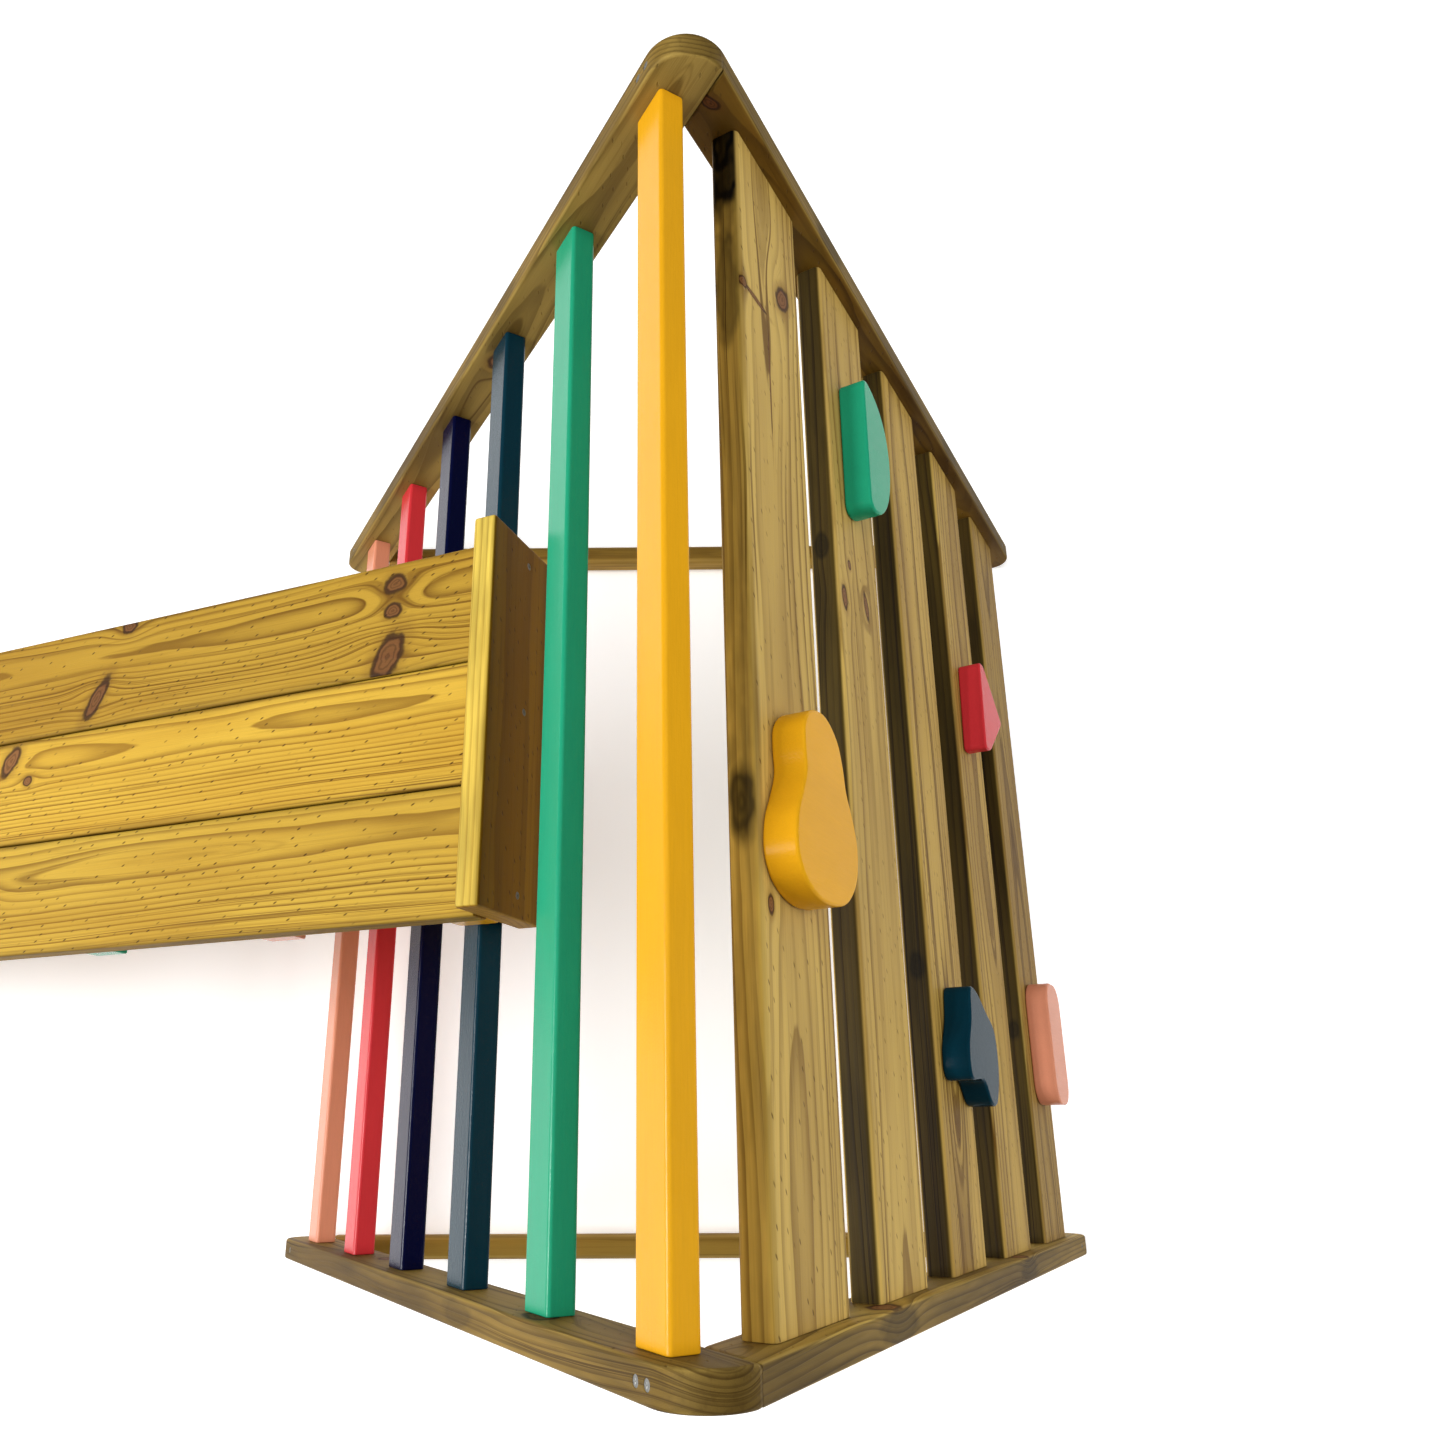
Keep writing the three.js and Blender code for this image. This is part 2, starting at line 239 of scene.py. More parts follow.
FRAME_TONES = {"early": rgb(204, 172, 92), "late": rgb(112, 80, 30), "cast": rgb(134, 100, 50)}
LEG_TONES = {"early": rgb(172, 144, 72), "late": rgb(88, 66, 24), "cast": rgb(104, 82, 38)}
RAMP_TONES = {"early": rgb(202, 164, 58), "late": rgb(112, 74, 10), "cast": rgb(164, 118, 24)}
KNOT = rgb(126, 82, 48)
KNOT_RIM = rgb(60, 36, 18)
HALO = rgb(128, 90, 34)
MARK = rgb(64, 40, 12)
MARK_PITCH = (0.026, 0.0105)  # of the incising marks, along the grain and across it
MARK_SIZE = (0.0034, 0.0013)


def pine(matrix, name, tones, seed, pith=(0.004, -0.05), ring=0.0065, wave=0.018, knots=(), marks=0.0,
         edge=(1, 1, 1), contrast=0.8, hair=0.5, blots=(), mottle=0.45, stain=(1, 1, 1), dirt=None):
    """Flat-sawn pine. The growth rings are circles about the pith, which lies at (across, depth) and
    wanders along the board. knots are (x, y, radius, stretch, turn) on the wide faces. blots are dark
    patches (x, reach, strength, spread) on the narrow sides, or pale ones where strength is negative,
    and edge tints those sides; on the slats the dark tint is partly painted shade and a pale patch is
    painted light. stain tints the wide faces, on the hook board and legs as painted shade
    and light, and dirt darkens them towards the sides as painted shade, from (half the width,
    strength). hair is the strength of the fine dark lines, and marks that of the incising marks."""
    s = Shader(name, matrix)
    x, y, z = s.split(s.position)
    shift = (seed * 7.31, seed * 3.17, seed * 5.53)
    drift = s.vector("SUBTRACT", s.noise(s.position, (1.5, 5.0, 5.0), 1.5, 0.45, shift, 1), (0.5, 0.5, 0.5))
    moved = s.vector("MULTIPLY_ADD", drift, (0.0, wave, wave * 1.8), s.position)

    inside = None
    halo_mask = None
    for kx, ky, radius, stretch, turn in knots:
        from_knot = s.vector("SUBTRACT", s.join(x, y, 0.0), (kx, ky, 0.0))
        turned = s.node("VectorRotate", {"Vector": from_knot, "Angle": math.radians(turn)},
                        rotation_type="Z_AXIS").outputs[0]
        ragged = s.vector("SUBTRACT", s.noise(s.position, (70, 70, 70), 2, 0.5, shift, 1), (0.5, 0.5, 0.5))
        uneven = s.vector("MULTIPLY_ADD", ragged, (radius * stretch * 0.7, radius * 0.7, 0), turned)
        near = s.vector("LENGTH", s.vector("MULTIPLY", uneven, (1 / (radius * stretch), 1 / radius, 0)))
        inside = near if inside is None else s.math("MINIMUM", inside, near)
        flow = s.vector("LENGTH", s.vector("MULTIPLY", from_knot,
                                           (1 / (radius * 4.2), 1 / (radius * 2.4), 0)))
        pull = s.math("EXPONENT", s.math("MULTIPLY", s.math("POWER", flow, 2.0), -1.0))
        push = s.math("MULTIPLY", s.math("SUBTRACT", y, ky), s.math("MULTIPLY", pull, -0.85))
        moved = s.vector("ADD", moved, s.join(0.0, push, s.math("MULTIPLY", pull, radius * 0.55)))
        halo = s.between(near, 0.9, 2.3, 0.8, 0.0)
        halo_mask = halo if halo_mask is None else s.math("MAXIMUM", halo_mask, halo)

    _, my, mz = s.split(moved)
    across = s.math("SUBTRACT", my, pith[0])
    depth = s.math("SUBTRACT", mz, pith[1])
    radius_out = s.math("SQRT", s.math("ADD", s.math("POWER", across, 2.0), s.math("POWER", depth, 2.0)))
    wobble = s.noise(s.position, (9, 60, 60), 2, 0.5, shift)
    rings = s.math("MULTIPLY_ADD", wobble, 0.35, s.math("DIVIDE", radius_out, ring))
    phase = s.math("FRACT", rings)
    year = s.node("TexWhiteNoise", {"W": s.math("FLOOR", rings)}, noise_dimensions="1D").outputs["Value"]
    late = s.math("MULTIPLY", s.between(phase, 0.30, 0.93), s.between(phase, 0.93, 1.0, 1.0, 0.0))
    late = s.math("MULTIPLY", s.math("POWER", late, 1.5), s.math("MULTIPLY_ADD", year, 0.7, 0.3))
    along_rings = s.join(x, radius_out, 0.0)
    hairs = s.between(s.noise(along_rings, (1.6, 620, 1), 2, 0.55, shift), 0.54, 0.66)
    bands = s.between(s.noise(along_rings, (1.2, 75, 1), 2, 0.5, shift), 0.46, 0.62)
    fibre = s.noise(s.position, (14, 900, 900), 3, 0.65, shift)
    streak = s.noise(s.position, (3.2, 130, 130), 3, 0.6, shift)
    patch = s.noise(s.position, (2.2, 14, 14), 2, 0.5, shift)

    colour = s.mix(s.math("MULTIPLY", late, contrast), tones["early"], tones["late"])
    colour = s.mix(s.between(patch, 0.35, 0.75, 0.0, mottle), colour, tones["cast"])
    colour = s.mix(s.between(streak, 0.52, 0.72, 0.0, 0.30), colour, tones["late"])
    colour = s.mix(s.math("MULTIPLY", hairs, s.math("MULTIPLY", bands, hair)), colour, tones["late"])
    grey = s.math("MULTIPLY_ADD", fibre, 0.30, 0.85)
    colour = s.mix(1.0, colour, s.join(grey, grey, grey), "MULTIPLY")
    height = s.math("MULTIPLY_ADD", fibre, 0.45, s.math("MULTIPLY", late, 0.4))

    if knots:
        upright = s.between(s.math("ABSOLUTE", s.normal[2]), 0.35, 0.6, 9.0, 0.0)
        inside = s.math("ADD", inside, upright)
        halo_mask = s.math("MULTIPLY", halo_mask, s.between(upright, 0.0, 9.0, 1.0, 0.0))
        knot_mask = s.between(inside, 0.85, 1.1, 1.0, 0.0)
        ages = s.math("SINE", s.math("MULTIPLY", inside, 16.0))
        rim = s.math("MULTIPLY", s.between(inside, 0.68, 0.95), s.between(inside, 1.05, 1.35, 1.0, 0.0))
        heart = s.mix(s.between(ages, -0.2, 1.0, 0.0, 0.5), KNOT, KNOT_RIM)
        colour = s.mix(s.math("MULTIPLY", halo_mask, 0.6), colour, HALO)
        colour = s.mix(s.math("MULTIPLY", knot_mask, 0.92), colour, heart)
        colour = s.mix(s.math("MULTIPLY", rim, 0.85), colour, KNOT_RIM)
        height = s.math("SUBTRACT", height, s.math("MULTIPLY", rim, 0.4))

    if marks:
        rows = s.math("DIVIDE", y, MARK_PITCH[1])
        row = s.math("FLOOR", rows)
        jog = s.node("TexWhiteNoise", {"W": s.math("ADD", row, seed)}, noise_dimensions="1D").outputs["Value"]
        start = s.math("MULTIPLY_ADD", row, 0.37, s.math("MULTIPLY", jog, 0.25))
        along = s.math("ADD", s.math("DIVIDE", x, MARK_PITCH[0]), start)
        cell = s.math("FLOOR", along)
        draw = s.node("TexWhiteNoise", {"Vector": s.join(cell, row, seed)}, noise_dimensions="3D").outputs
        chance, stray = draw["Value"], s.split(draw["Color"])
        middle_u = s.math("MULTIPLY_ADD", stray[1], 0.3, 0.35)
        middle_v = s.math("MULTIPLY_ADD", stray[2], 0.3, 0.35)
        u = s.math("MULTIPLY", s.math("SUBTRACT", s.math("FRACT", along), middle_u),
                   MARK_PITCH[0] / MARK_SIZE[0])
        v = s.math("MULTIPLY", s.math("SUBTRACT", s.math("FRACT", rows), middle_v),
                   MARK_PITCH[1] / MARK_SIZE[1])
        slanted = s.math("MULTIPLY_ADD", u, -1.1, v)
        spot = s.math("SQRT", s.math("ADD", s.math("POWER", u, 2.0), s.math("POWER", slanted, 2.0)))
        face = s.between(s.math("ABSOLUTE", s.normal[2]), 0.8, 0.95)
        slit = s.math("MULTIPLY", s.between(spot, 0.35, 1.0, 1.0, 0.0), s.between(chance, 0.35, 0.9))
        slit = s.math("MULTIPLY", slit, face)
        colour = s.mix(s.math("MULTIPLY", slit, marks), colour, MARK)
        height = s.math("SUBTRACT", height, s.math("MULTIPLY", slit, 1.2))

    # Painted shade: the wide faces darken towards their sides, along the seams and gaps between boards.
    if dirt:
        reach = s.math("MULTIPLY_ADD", s.noise(s.position, (9, 30, 30), 3, 0.6, shift), 0.030, -0.004)
        from_side = s.math("SUBTRACT", dirt[0], s.math("ABSOLUTE", y))
        side_shade_factor = s.between(s.math("DIVIDE", from_side, reach), 0.0, 1.0, 1.0 - dirt[1], 1.0)
        colour = s.mix(1.0, colour, s.join(side_shade_factor, side_shade_factor, side_shade_factor), "MULTIPLY")
    # Tints the wide faces; on the hook board and the legs this tint is painted shade and light.
    if stain != (1, 1, 1):
        face = s.between(s.math("ABSOLUTE", s.normal[2]), 0.5, 0.9)
        colour = s.mix(face, colour, s.mix(1.0, colour, (*stain, 1), "MULTIPLY"))
    end_grain = s.between(s.math("ABSOLUTE", s.normal[0]), 0.45, 0.9)
    side = s.between(s.math("ABSOLUTE", s.normal[1]), 0.6, 0.95)
    colour = s.mix(s.math("MULTIPLY", end_grain, 0.55), colour, tones["cast"], "MULTIPLY")
    # Tints the narrow sides; the slats' dark tints are partly painted shade, and a pale patch is painted
    # light.
    if edge != (1, 1, 1):
        shade = s.between(s.noise(s.position, (5, 40, 40), 3, 0.6, shift), 0.3, 0.7, 0.75, 1.25)
        for middle, reach, strength, spread in blots:
            swirl = s.noise(s.position, (22, 50, 50), 2, 0.55, shift)
            away = s.vector("LENGTH", s.join(s.math("DIVIDE", s.math("SUBTRACT", x, middle), reach),
                                             s.math("DIVIDE", z, spread), 0.0))
            away = s.math("MULTIPLY_ADD", swirl, 0.9, s.math("SUBTRACT", away, 0.45))
            lines = s.math("MULTIPLY", s.math("SINE", s.math("MULTIPLY", away, 18.0)), 0.05)
            blot = s.between(away, 0.6, 1.05, 1.0 - strength, 1.0)
            lined = s.math("MULTIPLY_ADD", lines, s.math("SUBTRACT", 1.0, blot), blot)
            shade = s.math("MULTIPLY", shade, lined)
        tint = s.join(*(s.math("MULTIPLY", shade, share) for share in edge))
        colour = s.mix(side, colour, s.mix(1.0, colour, tint, "MULTIPLY"))
    roughness = s.math("MULTIPLY_ADD", fibre, 0.25, 0.5)
    return s.finish(colour, roughness, height, 0.0005, **{"Specular IOR Level": 0.12})


def paint(matrix, name, colour, seed, gloss=0.15):
    """Brushed satin paint, slightly thin and dark where the grain under it shows."""
    s = Shader(name, matrix)
    shift = (seed * 2.7, seed * 4.1, seed * 1.9)
    base = PAINT[colour] + (1,)
    brush = s.noise(s.position, (30, 620, 620), 3, 0.6, shift)
    cloud = s.noise(s.position, (7, 24, 24), 2, 0.5, shift)
    peel = s.noise(s.position, (360, 360, 360), 2, 0.6, shift)
    tone = s.math("MULTIPLY_ADD", brush, 0.14, s.math("MULTIPLY_ADD", cloud, 0.16, 0.86))
    shade = s.mix(1.0, base, s.join(tone, tone, tone), "MULTIPLY")
    height = s.math("MULTIPLY_ADD", peel, 0.55, s.math("MULTIPLY", brush, 0.5))
    roughness = s.math("MULTIPLY_ADD", peel, 0.12, 0.15)
    return s.finish(shade, roughness, height, 0.00030, **{"Specular IOR Level": gloss})


def zinc():
    s = Shader("zinc")
    scratch = s.noise(s.position, (900, 900, 900), 3, 0.7)
    tone = s.math("MULTIPLY_ADD", scratch, 0.20, 0.12)
    return s.finish(s.join(tone, tone, s.math("MULTIPLY", tone, 0.95)),
                    s.math("MULTIPLY_ADD", scratch, 0.25, 0.42), scratch, 0.00005, Metallic=1.0)


ZINC = zinc()

# Screws
HEAD_RADIUS, HEAD_DEPTH, HEAD_SIDES = 0.0044, 0.0035, 24
RECESS, RECESS_ARM, RECESS_HALF_WIDTH = 0.0016, 0.0022, 0.0006
SINK_SIDES = 20


def circle(radius, level, sides):
    angles = [2 * math.pi * i / sides for i in range(sides)]
    return [(radius * math.cos(a), radius * math.sin(a), level) for a in angles]


def facing(centre, outward):
    """The matrix that turns +Z outward at a point."""
    turn = outward.to_track_quat("Z", "X").to_matrix().to_4x4()
    turn.translation = centre
    return turn


def screw_head(mesh, centre, outward):
    """A countersunk head with a cross recess, its face at centre, added to a mesh."""
    turn = facing(centre, outward)
    cross = []
    for i in range(HEAD_SIDES):
        angle = 2 * math.pi * i / HEAD_SIDES
        quarter = round(angle / (math.pi / 2))
        off = angle - quarter * math.pi / 2
        reach = RECESS_ARM if abs(off) < math.pi / 8 else RECESS_HALF_WIDTH * 1.45
        aside = max(-RECESS_HALF_WIDTH, min(RECESS_HALF_WIDTH, reach * math.tan(off)))
        local = (min(reach * math.cos(off), RECESS_ARM), aside)
        c, n = math.cos(quarter * math.pi / 2), math.sin(quarter * math.pi / 2)
        cross.append((local[0] * c - local[1] * n, local[0] * n + local[1] * c))
    rings = [circle(HEAD_RADIUS * 0.55, -HEAD_DEPTH, HEAD_SIDES),
             circle(HEAD_RADIUS, -0.0004, HEAD_SIDES),
             circle(HEAD_RADIUS * 0.95, 0.0, HEAD_SIDES),
             [(x, y, 0.0) for x, y in cross],
             [(x * 0.6, y * 0.6, -RECESS) for x, y in cross]]
    skin(mesh, [[mesh.verts.new(turn @ Vector(p)) for p in ring] for ring in rings])


def screw_piece(name, heads, body, nodes=()):
    mesh = bmesh.new()
    for centre, outward in heads:
        screw_head(mesh, centre, outward)
    return piece(name, mesh, Matrix.Identity(4), ZINC, body, nodes)


def head_of(node, outward):
    """The middle of a CAD screw's face."""
    corners = [v.co for v in frame["nodes"][node].data.vertices]
    top = max(outward.dot(c) for c in corners)
    face = [c for c in corners if outward.dot(c) > top - 1e-4]
    return sum(face, Vector()) / len(face)


def drill(made, heads):
    """Cuts a countersink for each screw head out of a piece."""
    cutter = bmesh.new()
    for centre, outward in heads:
        turn = facing(centre, outward)
        rings = [circle(HEAD_RADIUS * 0.5, -0.0045, SINK_SIDES),
                 circle(HEAD_RADIUS + 0.0002, -0.0003, SINK_SIDES),
                 circle(HEAD_RADIUS + 0.0004, 0.004, SINK_SIDES)]
        skin(cutter, [[cutter.verts.new(turn @ Vector(p)) for p in ring] for ring in rings])
    data = bpy.data.meshes.new("cutter")
    cutter.to_mesh(data)
    cutter.free()
    tool = bpy.data.objects.new("cutter", data)
    bpy.context.scene.collection.objects.link(tool)
    cut = made.modifiers.new("cut", "BOOLEAN")
    cut.operation, cut.object, cut.solver = "DIFFERENCE", tool, "EXACT"
    made.modifiers.move(1, 0)
    bpy.context.view_layer.update()
    drilled = bpy.data.meshes.new_from_object(made.evaluated_get(bpy.context.evaluated_depsgraph_get()))
    made.modifiers.clear()
    made.data = drilled
    bpy.data.objects.remove(tool)


def cut_below(mesh, matrix, height):
    """Cuts a piece flat at a height above the floor."""
    back = matrix.inverted()
    cut = bmesh.ops.bisect_plane(mesh, geom=mesh.verts[:] + mesh.edges[:] + mesh.faces[:], dist=1e-6,
                                 plane_co=back @ Vector((0, 0, height)),
                                 plane_no=back.to_3x3() @ Vector((0, 0, 1)), clear_inner=True)
    bmesh.ops.edgenet_fill(mesh, edges=[e for e in cut["geom_cut"] if isinstance(e, bmesh.types.BMEdge)])


# Boards: the CAD node's own size and place, with finely rounded edges
def board(node, axes, radius, rim, look, body, on_floor=False):
    low, high = oriented_box(node, axes)
    size = high - low
    mesh = prism(rounded_rectangle(size.y, size.z, radius), -size.x / 2, size.x / 2, rim, 0)
    matrix = place(axes, (low + high) / 2)
    if on_floor:
        cut_below(mesh, matrix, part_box(node)[0].z)
    return piece(f"{node}_piece", mesh, matrix, look(matrix), body, [node])


def painted(node, colour, seed, **look):
    return partial(paint, name=f"{node}_paint", colour=colour, seed=seed, **look)


def wooden(node, tones, **look):
    return partial(pine, name=f"{node}_pine", tones=tones, **look)


for index, colour in enumerate(COLOURS):
    node = f"rung_{colour}"
    board(node, RUNG_AXES, 0.0045, 0.0012, painted(node, colour, index + 1), "frame")

# Each slat's edge darkens its narrow sides, partly as the darker sawn wood and partly as painted shade; on
# slats 2 to 5 it is mostly painted shade, as each side lies in the shadow of the slat above. On slat 1 the
# pale patch with strength -0.55 is painted light on the near half of its side, the far half staying dark as
# painted shadow of the yellow rung; its other blots are real dark patches, and its faces darken towards the
# sides as painted shade.
SLATS = [
    dict(seed=1, pith=(0.02, -0.07), ring=0.0075, wave=0.02, edge=(0.66, 0.62, 0.42), dirt=(0.076, 0.25),
         blots=[(0.56, 0.125, 0.97, 0.034), (0.37, 0.07, 0.5, 0.016), (-0.16, 0.045, 0.8, 0.016),
                (-0.50, 0.50, -0.55, 0.5)],
         knots=[(0.380, 0.068, 0.006, 1.0, 0), (0.379, 0.042, 0.0026, 9.0, 90),
                (0.430, -0.028, 0.011, 1.7, 42), (0.300, 0.013, 0.0012, 50.0, 0),
                (-0.246, 0.057, 0.005, 1.6, 0)]),
    dict(seed=2, pith=(-0.01, -0.09), ring=0.006, wave=0.016, edge=(0.088, 0.082, 0.050),
         blots=[(0.194, 0.020, 0.6, 0.010)],
         knots=[(0.135, 0.05, 0.007, 1.8, 0), (0.153, -0.021, 0.006, 2.6, -15),
                (0.185, 0.028, 0.004, 1.3, 0)]),
    dict(seed=3, pith=(0.01, -0.11), ring=0.0065, wave=0.014, stain=(0.84, 0.80, 0.72),
         edge=(0.080, 0.072, 0.034), blots=[(-0.241, 0.022, 0.6, 0.012)]),
    dict(seed=4, pith=(-0.02, -0.08), ring=0.007, wave=0.016, stain=(0.80, 0.76, 0.68),
         edge=(0.080, 0.072, 0.034), knots=[(0.20, -0.02, 0.005, 1.5, 0)]),
    dict(seed=5, pith=(0.0, -0.10), ring=0.006, wave=0.016, stain=(0.60, 0.55, 0.51),
         edge=(0.080, 0.072, 0.034), blots=[(-0.282, 0.020, 0.6, 0.012)]),
]
for i, look in enumerate(SLATS):
    node = f"wall_slat_{i + 1}"
    grain = wooden(node, FRAME_TONES, marks=0.7, contrast=0.85, hair=0.95, **look)
    board(node, SLAT_AXES, 0.0065, 0.0008, grain, "frame")

PLANKS = [
    dict(seed=11, pith=(0.030, -0.040), ring=0.0052, wave=0.020, knots=[(0.20, -0.01, 0.012, 1.4, 0)]),
    dict(seed=12, pith=(0.040, -0.030), ring=0.0050, wave=0.018, stain=(1.14, 1.12, 1.08),
         knots=[(0.228, 0.046, 0.011, 1.8, -60), (0.266, 0.014, 0.006, 1.2, 0)]),
    dict(seed=13, pith=(0.030, -0.036), ring=0.0050, wave=0.020, stain=(0.84, 0.80, 0.76),
         knots=[(0.826, 0.044, 0.011, 1.3, 0), (0.825, 0.010, 0.009, 1.2, 10),
                (0.822, -0.050, 0.0155, 1.9, -62), (0.406, 0.066, 0.009, 1.3, 0),
                (0.366, -0.031, 0.010, 2.8, -60)]),
]
# The planks' faces darken towards their sides as painted shade along the seams between them.
for i, look in enumerate(PLANKS):
    node = f"ramp_plank_{i + 1}"
    grain = wooden(node, RAMP_TONES, marks=0.85, contrast=0.95, hair=0.8, edge=(0.7, 0.68, 0.6),
                   dirt=(0.072, 0.28), **look)
    board(node, PLANK_AXES, 0.0035, 0.0012, grain, "ramp", on_floor=True)

HOOK_SCREWS = [f"hook_board_screw_{i + 1}" for i in range(3)]
# The hook board's wide faces are tinted dark brown as painted shade, for inside the frame they lie in the
# wall's shadow.
hook = board("ramp_hook_board", HOOK_AXES, 0.004, 0.0035,
             wooden("ramp_hook_board", RAMP_TONES, seed=21, pith=(0.0, -0.16), ring=0.0075, wave=0.008,
                    marks=0.8, contrast=0.8, hair=0.8, edge=(1.25, 1.45, 2.2), stain=(0.36, 0.28, 0.05)),
             "ramp")
hook_heads = [(head_of(node, UP_RAMP), UP_RAMP) for node in HOOK_SCREWS]
drill(hook, hook_heads)

battens = sorted(node for node in frame["nodes"] if node.startswith("ramp_batten"))
slot_of = {s["node"]: s["material_slot"] for s in frame["record"]["subparts"]}
for i, node in enumerate(battens):
    slot = slot_of[node]
    colour = slot.removeprefix("paint_")
    board(node, BATTEN_AXES, 0.0045, 0.002, painted(node, colour, 20 + i), "ramp")

# Holds
HOLD_RIM = 0.003
HOLD_GLOSS = 0.04


def smooth_closed(points, steps):
    """A closed Catmull-Rom curve through the points."""
    points = [Vector(p) for p in points]
    count = len(points)
    curve = []
    for i in range(count):
        a, b, c, d = (points[(i + k) % count] for k in (-1, 0, 1, 2))
        for k in range(steps):
            t = k / steps
            curve.append(0.5 * (2 * b + (c - a) * t + (2 * a - 5 * b + 4 * c - d) * t * t
                                + (3 * b - a - 3 * c + d) * t * t * t))
    return curve


def bezier(start, control_1, control_2, end, steps):
    a, b, c, d = map(Vector, (start, control_1, control_2, end))
    return [a * (1 - t) ** 3 + 3 * b * t * (1 - t) ** 2 + 3 * c * t * t * (1 - t) + d * t ** 3
            for t in (k / steps for k in range(steps + 1))]


def rounded_corners(corners, back, steps):
    points = [Vector(c) for c in corners]
    curve = []
    for i, corner in enumerate(points):
        before = corner + (points[i - 1] - corner).normalized() * back
        after = corner + (points[(i + 1) % len(points)] - corner).normalized() * back
        curve += bezier(before, before.lerp(corner, 0.6), after.lerp(corner, 0.6), after, steps)
    return curve


def leaf():
    return (bezier((-41, -73), (-41, -84), (-36, -89), (-25, -88), 6)
            + bezier((-25, -88), (10, -84), (40, -45), (41, 10), 16)[1:]
            + bezier((41, 10), (41, 60), (10, 82), (-22, 87), 16)[1:]
            + bezier((-22, 87), (-33, 88), (-38, 85), (-38, 74), 6)[1:])


PEANUT = [(0, -84), (38, -76), (64, -52), (71, -20), (62, 8), (50, 30), (45, 52), (34, 76), (8, 92),
          (-22, 89), (-42, 72), (-45, 50), (-44, 28), (-54, 6), (-67, -18), (-70, -46), (-58, -68),
          (-32, -81)]
CLOUD = [(-35, 64), (-8, 62), (26, 42), (58, 20), (63, -24), (44, -64),
         (18, -66), (-10, -41), (-56, -40), (-62, -8), (-44, 28)]
KITE = [(-58, -69), (-30, -66), (56, 2), (-26, 68), (-48, 67)]
HOLD_SHAPES = {
    "yellow": smooth_closed(PEANUT, 6),
    "green": leaf(),
    "teal": smooth_closed(CLOUD, 6),
    "coral": rounded_corners(KITE, 9, 5),
    "peach": rounded_rectangle(86, 176, 32, 10),
}


def anticlockwise(points):
    area = sum(a[0] * b[1] - b[0] * a[1] for a, b in zip(points, points[1:] + points[:1]))
    return points if area > 0 else list(reversed(points))


for i, (colour, shape) in enumerate(HOLD_SHAPES.items()):
    node = f"hold_{colour}"
    low, high = oriented_box(node, HOLD_AXES)
    outline = anticlockwise([(p[0] / 1000, p[1] / 1000) for p in shape])
    left, right = (f(p[0] for p in outline) for f in (min, max))
    near, far = (f(p[1] for p in outline) for f in (min, max))
    size = high - low
    outline = [((p[0] - (left + right) / 2) * size.x / (right - left),
                (p[1] - (near + far) / 2) * size.y / (far - near)) for p in outline]
    mesh = prism(outline, -size.z / 2, size.z / 2, HOLD_RIM, 2)
    matrix = place(HOLD_AXES, (low + high) / 2)
    piece(f"{node}_piece", mesh, matrix, painted(node, colour, 40 + i, gloss=HOLD_GLOSS)(matrix),
          "frame", [node])

# The two A-frames
LEG_WIDTH, APEX_RADIUS, FOOT_RADIUS, FOOT_FLAT, LEG_RIM = 0.065, 0.0451, 0.030, 0.0032, 0.004


def foot(length):
    """Outline of a leg's foot: two rounded corners and the flat that stands on the ground."""
    down = 90 - math.degrees(SLOPE)
    inner = math.degrees(math.acos((FOOT_RADIUS - FOOT_FLAT) / FOOT_RADIUS))
    drop = FOOT_RADIUS - FOOT_FLAT + (LEG_WIDTH - 2 * FOOT_RADIUS) * math.cos(SLOPE)
    outer = math.degrees(math.acos(min(1, drop / FOOT_RADIUS)))
    x = length - FOOT_RADIUS
    return (arc(x, LEG_WIDTH - FOOT_RADIUS, FOOT_RADIUS, 90, down + inner, 8)
            + arc(x, FOOT_RADIUS, FOOT_RADIUS, down - outer, -90, 16))


def ladder_leg(length):
    centre = APEX_RADIUS / math.tan(SLOPE / 2)
    end = 180 - math.degrees(math.asin((LEG_WIDTH - APEX_RADIUS) / APEX_RADIUS))
    return anticlockwise(arc(centre, APEX_RADIUS, APEX_RADIUS, 270, end, 24) + foot(length))


def wall_leg(length, start):
    return anticlockwise([(start, 0), (start + LEG_WIDTH / math.tan(SLOPE), LEG_WIDTH)] + foot(length))


LEG_LENGTH = 1.230
SLAT_SCREW_STEP = 0.036  # of a slat's two screws, either side of its middle
RAIL_ROUND = 0.014
LEG_LOOK = dict(ring=0.006, wave=0.034, marks=0.3, hair=0.9, mottle=0.95)
# Tints of each leg's wide faces, painted light and shade: darker where the face lay in shade, most on the far
# wall leg, and lighter on the near wall leg.
LEG_PAINTED_LIGHT_AND_SHADE = {
    "ladder_near": (0.78, 0.77, 0.72),
    "ladder_far": (1, 1, 1),
    "wall_near": (1.3, 1.3, 1.2),
    "wall_far": (0.42, 0.32, 0.14),
}
LEG_KNOTS = {
    "ladder_near": [(0.30, 0.02, 0.012, 1.6, 0), (0.83, 0.045, 0.010, 1.5, 0)],
    "ladder_far": [(0.55, 0.03, 0.010, 1.5, 0)],
    "wall_near": [(0.355, 0.014, 0.012, 1.5, 0), (0.84, 0.012, 0.009, 1.5, 0)],
    "wall_far": [(0.42, 0.045, 0.010, 1.6, 0), (0.10, 0.028, 0.005, 2.2, 30)],
}
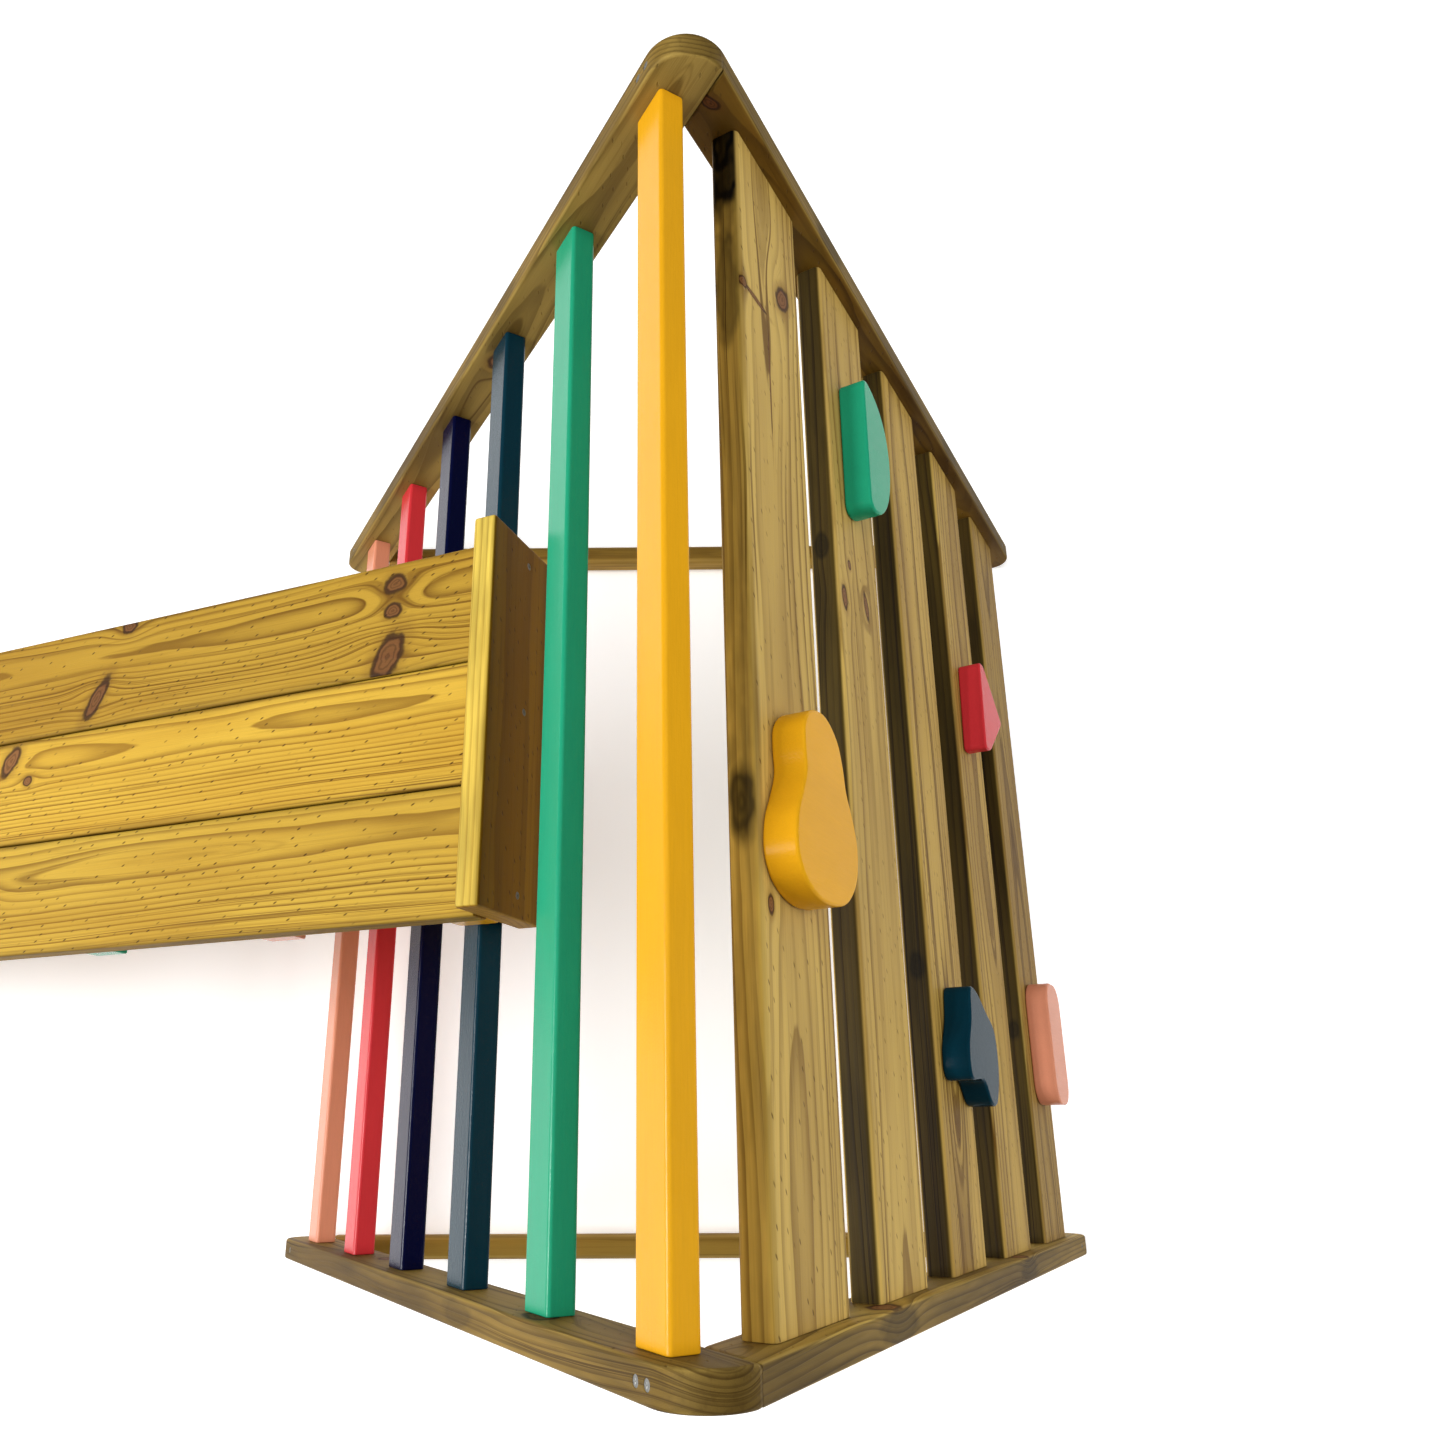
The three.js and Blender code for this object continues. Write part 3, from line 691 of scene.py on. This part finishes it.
for number, side in enumerate(SIDES):
    low, high = oriented_box(f"ladder_leg_{side}", LADDER_LEG_AXES)
    base = (high.x - LEG_LENGTH, low.y, (low.z + high.z) / 2)
    half = (high.z - low.z) / 2
    matrix = place(LADDER_LEG_AXES, base)
    look = wooden(f"ladder_leg_{side}", LEG_TONES, seed=31 + number, pith=(0.03, -0.045),
                  knots=LEG_KNOTS[f"ladder_{side}"], edge=(0.60, 0.55, 0.45),
                  blots=[(0.45, 0.045, 0.3, 0.014)], stain=LEG_PAINTED_LIGHT_AND_SHADE[f"ladder_{side}"], **LEG_LOOK)
    ladder = piece(f"ladder_leg_{side}_piece", prism(ladder_leg(LEG_LENGTH), -half, half, LEG_RIM, 2),
                   matrix, look(matrix), "frame", [f"ladder_leg_{side}"])
    low, high = oriented_box(f"wall_leg_{side}", WALL_LEG_AXES)
    base = (high.x - LEG_LENGTH, low.y, (low.z + high.z) / 2)
    start = low.x - base[0]
    matrix = place(WALL_LEG_AXES, base)
    look = wooden(f"wall_leg_{side}", LEG_TONES, seed=41 + number, pith=(0.03, 0.05),
                  knots=LEG_KNOTS[f"wall_{side}"], edge=(0.50, 0.46, 0.40),
                  blots=[(0.355, 0.055, 0.45, 0.016), (0.84, 0.050, 0.4, 0.015)],
                  stain=LEG_PAINTED_LIGHT_AND_SHADE[f"wall_{side}"], **LEG_LOOK)
    wall = piece(f"wall_leg_{side}_piece", prism(wall_leg(LEG_LENGTH, start), -half, half, LEG_RIM, 2),
                 matrix, look(matrix), "frame", [f"wall_leg_{side}"])

    out = -ALONG if side == "near" else ALONG
    rung_heads = [(head_of(f"rung_screw_{side}_{i + 1}", out), out) for i in range(6)]
    apex_heads = [(head_of(f"apex_screw_{side}_{i + 1}", OUT_LADDER), OUT_LADDER) for i in range(2)]
    ladder_rail = (head_of(f"stretcher_screw_{side}_1", OUT_LADDER), OUT_LADDER)
    wall_rail = (head_of(f"stretcher_screw_{side}_2", OUT_WALL), OUT_WALL)
    face = rung_heads[0][0].y
    slat_heads = []
    for i in range(5):
        low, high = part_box(f"wall_slat_{i + 1}")
        middle = (low + high) / 2
        for step in (-SLAT_SCREW_STEP, SLAT_SCREW_STEP):
            spot = middle + DOWN_WALL * step
            slat_heads.append((Vector((spot.x, face, spot.z)), out))
    drill(ladder, rung_heads + apex_heads + [ladder_rail])
    drill(wall, slat_heads + [wall_rail])
    screw_piece(f"rung_screw_heads_{side}", rung_heads, "frame",
                [f"rung_screw_{side}_{i + 1}" for i in range(6)])
    screw_piece(f"apex_screw_heads_{side}", apex_heads, "frame",
                [f"apex_screw_{side}_{i + 1}" for i in range(2)])
    screw_piece(f"stretcher_screw_heads_{side}", [ladder_rail, wall_rail], "frame",
                [f"stretcher_screw_{side}_{i + 1}" for i in range(2)])
    screw_piece(f"slat_screw_heads_{side}", slat_heads, "frame")

    node = f"stretcher_{side}"
    low, high = oriented_box(node, RAIL_AXES)
    size = high - low
    lean = 1 / math.tan(SLOPE)
    reach = size.x / 2 - size.z / 2 * lean
    mesh = prism(rounded_rectangle(size.y, size.z, RAIL_ROUND), -reach, reach, 0.001, 0)
    for vertex in mesh.verts:
        vertex.co.x -= math.copysign(vertex.co.z * lean, vertex.co.x)
    matrix = place(RAIL_AXES, (low + high) / 2)
    look = wooden(node, FRAME_TONES, seed=51 + number, pith=(0.0, -0.09), ring=0.008, wave=0.008,
                  contrast=0.4, hair=0.4, stain=(0.54, 0.48, 0.32), edge=(0.62, 0.57, 0.44))
    piece(f"{node}_piece", mesh, matrix, look(matrix), "frame", [node])

screw_piece("hook_board_screw_heads", hook_heads, "ramp", HOOK_SCREWS)

# Floor, lights and camera
floor_data = bpy.data.meshes.new("floor")
floor_data.from_pydata([(-9, -9, 0), (9, -9, 0), (9, 9, 0), (-9, 9, 0)], [], [(0, 1, 2, 3)])
floor = bpy.data.objects.new("floor", floor_data)
bpy.context.scene.collection.objects.link(floor)
floor_shader = Shader("floor")
mottle = floor_shader.noise(floor_shader.position, (6, 6, 6), 3, 0.5)
shade = floor_shader.math("MULTIPLY_ADD", mottle, 0.02, 0.95)
floor_data.materials.append(floor_shader.finish(
    floor_shader.join(shade, shade, shade), 0.7, mottle, 0.0001,
    **{"Specular IOR Level": 0.2, "Emission Color": (1, 1, 1, 1), "Emission Strength": 0.4}))


def area_light(name, position, target, size, power, glossy=True, diffuse=True):
    data = bpy.data.lights.new(name, "AREA")
    data.shape, data.size, data.energy = "DISK", size, power
    light = bpy.data.objects.new(name, data)
    light.location = position
    light.visible_glossy = glossy
    light.visible_diffuse = diffuse
    light.rotation_euler = (Vector(target) - Vector(position)).to_track_quat("-Z", "Y").to_euler()
    bpy.context.scene.collection.objects.link(light)


bpy.context.scene.view_settings.view_transform = "Standard"
area_light("key", (-4.2, -0.6, 3.4), (0.4, 0, 0.5), 2.6, 270)
area_light("wall_side", (4.8, -0.4, 3.0), (0.8, 0, 0.5), 2.6, 95, glossy=False)
area_light("overhead", (0.3, 0.2, 4.6), (0.3, 0, 0), 3.0, 80, glossy=False)
area_light("sheen", (-3.0, -0.8, 4.2), (0.0, 0, 0.7), 0.7, 90, diffuse=False)
world = bpy.data.worlds.new("studio")
world.use_nodes = True
world.node_tree.nodes["Background"].inputs["Color"].default_value = (1, 1, 1, 1)
world.node_tree.nodes["Background"].inputs["Strength"].default_value = 0.13
bpy.context.scene.world = world

EYE = Vector((0.6729, -0.4278, 1.8424))
LOOK = Vector((-0.0058, 0.3099, -0.9508)).normalized()
ROLL = -0.0049
right = LOOK.cross(ALONG).normalized()
up = right.cross(LOOK)
camera_data = bpy.data.cameras.new("camera")
camera_data.sensor_width, camera_data.lens = 36, 27.56
camera_data.shift_x, camera_data.shift_y = 0.0438, 0.0367
camera = bpy.data.objects.new("camera", camera_data)
bpy.context.scene.collection.objects.link(camera)
camera.matrix_world = Matrix.Translation(EYE) @ Matrix([
    right * math.cos(ROLL) + up * math.sin(ROLL),
    up * math.cos(ROLL) - right * math.sin(ROLL),
    -LOOK,
]).transposed().to_4x4()
bpy.context.scene.camera = camera
